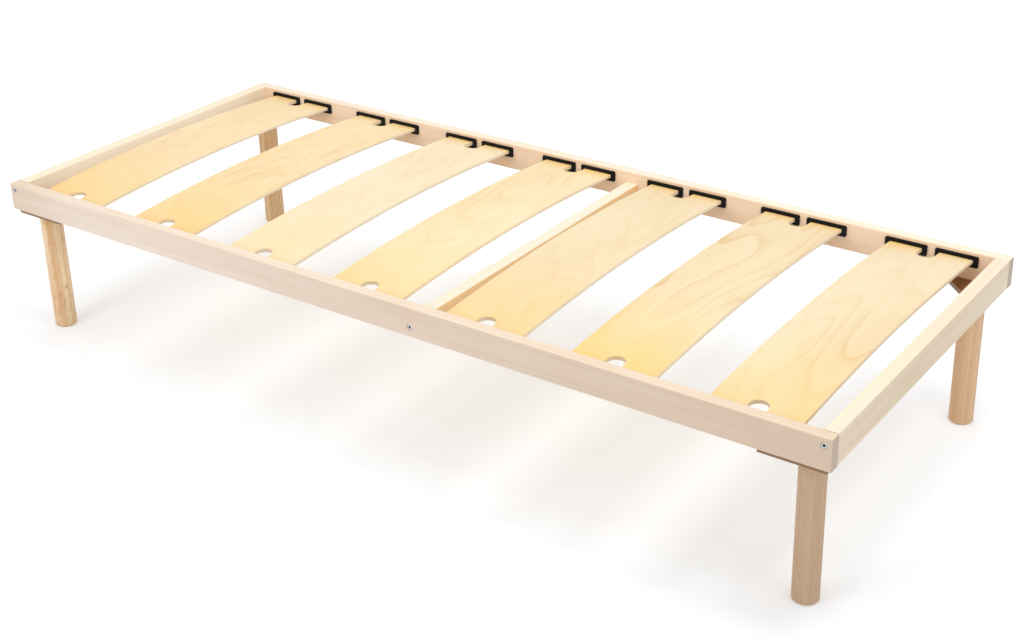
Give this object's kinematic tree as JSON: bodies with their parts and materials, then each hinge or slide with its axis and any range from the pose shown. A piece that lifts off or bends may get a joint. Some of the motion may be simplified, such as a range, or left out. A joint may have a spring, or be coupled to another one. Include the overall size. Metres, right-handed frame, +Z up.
{
  "type": "bed frame",
  "caption": "Slatted single bed base: wooden rails on round legs, with wide sprung slats held in plastic end holders and one crossbar.",
  "frame": {"origin": "on the floor under the middle of the bed", "axes": "+X along the bed, +Y across it from the front side rail to the back one, +Z up"},
  "size_m": [1.95, 0.8, 0.3509],
  "materials": {
    "rail_beech": "clear matt lacquer",
    "leg_wood": "clear matt lacquer",
    "slat_plywood": "satin birch veneer",
    "plate_plywood": "bare plywood",
    "dowel_beech": "bare",
    "holder_plastic": "fine matt grain",
    "zinc_steel": "zinc plated"
  },
  "bodies": {
    "frame": {"side_rail_front": "rail_beech", "side_rail_back": "rail_beech", "end_rail_left": "rail_beech", "end_rail_right": "rail_beech", "centre_crossbar": "rail_beech", "corner_plate_front_left": "plate_plywood", "corner_plate_front_right": "plate_plywood", "corner_plate_back_left": "plate_plywood", "corner_plate_back_right": "plate_plywood", "leg_front_left": "leg_wood", "leg_front_right": "leg_wood", "leg_back_left": "leg_wood", "leg_back_right": "leg_wood", "slat_holder_front_1_left": "holder_plastic", "slat_holder_back_1_left": "holder_plastic", "slat_holder_front_1_right": "holder_plastic", "slat_holder_back_1_right": "holder_plastic", "slat_holder_front_2_left": "holder_plastic", "slat_holder_back_2_left": "holder_plastic", "slat_holder_front_2_right": "holder_plastic", "slat_holder_back_2_right": "holder_plastic", "slat_holder_front_3_left": "holder_plastic", "slat_holder_back_3_left": "holder_plastic", "slat_holder_front_3_right": "holder_plastic", "slat_holder_back_3_right": "holder_plastic", "slat_holder_front_4_left": "holder_plastic", "slat_holder_back_4_left": "holder_plastic", "slat_holder_front_4_right": "holder_plastic", "slat_holder_back_4_right": "holder_plastic", "slat_holder_front_5_left": "holder_plastic", "slat_holder_back_5_left": "holder_plastic", "slat_holder_front_5_right": "holder_plastic", "slat_holder_back_5_right": "holder_plastic", "slat_holder_front_6_left": "holder_plastic", "slat_holder_back_6_left": "holder_plastic", "slat_holder_front_6_right": "holder_plastic", "slat_holder_back_6_right": "holder_plastic", "slat_holder_front_7_left": "holder_plastic", "slat_holder_back_7_left": "holder_plastic", "slat_holder_front_7_right": "holder_plastic", "slat_holder_back_7_right": "holder_plastic", "frame_bolts": "zinc_steel", "insert_nuts": "zinc_steel", "dowels": "dowel_beech", "leg_studs": "zinc_steel", "tee_nuts": "zinc_steel", "plate_screws": "zinc_steel"},
    "sprung_slat_1": {"slat_1": "slat_plywood"},
    "sprung_slat_2": {"slat_2": "slat_plywood"},
    "sprung_slat_3": {"slat_3": "slat_plywood"},
    "sprung_slat_4": {"slat_4": "slat_plywood"},
    "sprung_slat_5": {"slat_5": "slat_plywood"},
    "sprung_slat_6": {"slat_6": "slat_plywood"},
    "sprung_slat_7": {"slat_7": "slat_plywood"}
  },
  "joints": [
    {"name": "slat_1_flex", "type": "slide", "parent": "frame", "child": "sprung_slat_1", "axis": [0, 0, 1], "range_m": [-0.016, 0], "stiffness_N_per_m": 7500, "springref_m": 0.001, "deforming": ["slat_1"]},
    {"name": "slat_2_flex", "type": "slide", "parent": "frame", "child": "sprung_slat_2", "axis": [0, 0, 1], "range_m": [-0.016, 0], "stiffness_N_per_m": 7500, "springref_m": 0.001, "deforming": ["slat_2"]},
    {"name": "slat_3_flex", "type": "slide", "parent": "frame", "child": "sprung_slat_3", "axis": [0, 0, 1], "range_m": [-0.016, 0], "stiffness_N_per_m": 7500, "springref_m": 0.001, "deforming": ["slat_3"]},
    {"name": "slat_4_flex", "type": "slide", "parent": "frame", "child": "sprung_slat_4", "axis": [0, 0, 1], "range_m": [-0.016, 0], "stiffness_N_per_m": 7500, "springref_m": 0.001, "deforming": ["slat_4"]},
    {"name": "slat_5_flex", "type": "slide", "parent": "frame", "child": "sprung_slat_5", "axis": [0, 0, 1], "range_m": [-0.016, 0], "stiffness_N_per_m": 7500, "springref_m": 0.001, "deforming": ["slat_5"]},
    {"name": "slat_6_flex", "type": "slide", "parent": "frame", "child": "sprung_slat_6", "axis": [0, 0, 1], "range_m": [-0.016, 0], "stiffness_N_per_m": 7500, "springref_m": 0.001, "deforming": ["slat_6"]},
    {"name": "slat_7_flex", "type": "slide", "parent": "frame", "child": "sprung_slat_7", "axis": [0, 0, 1], "range_m": [-0.016, 0], "stiffness_N_per_m": 7500, "springref_m": 0.001, "deforming": ["slat_7"]}
  ]
}
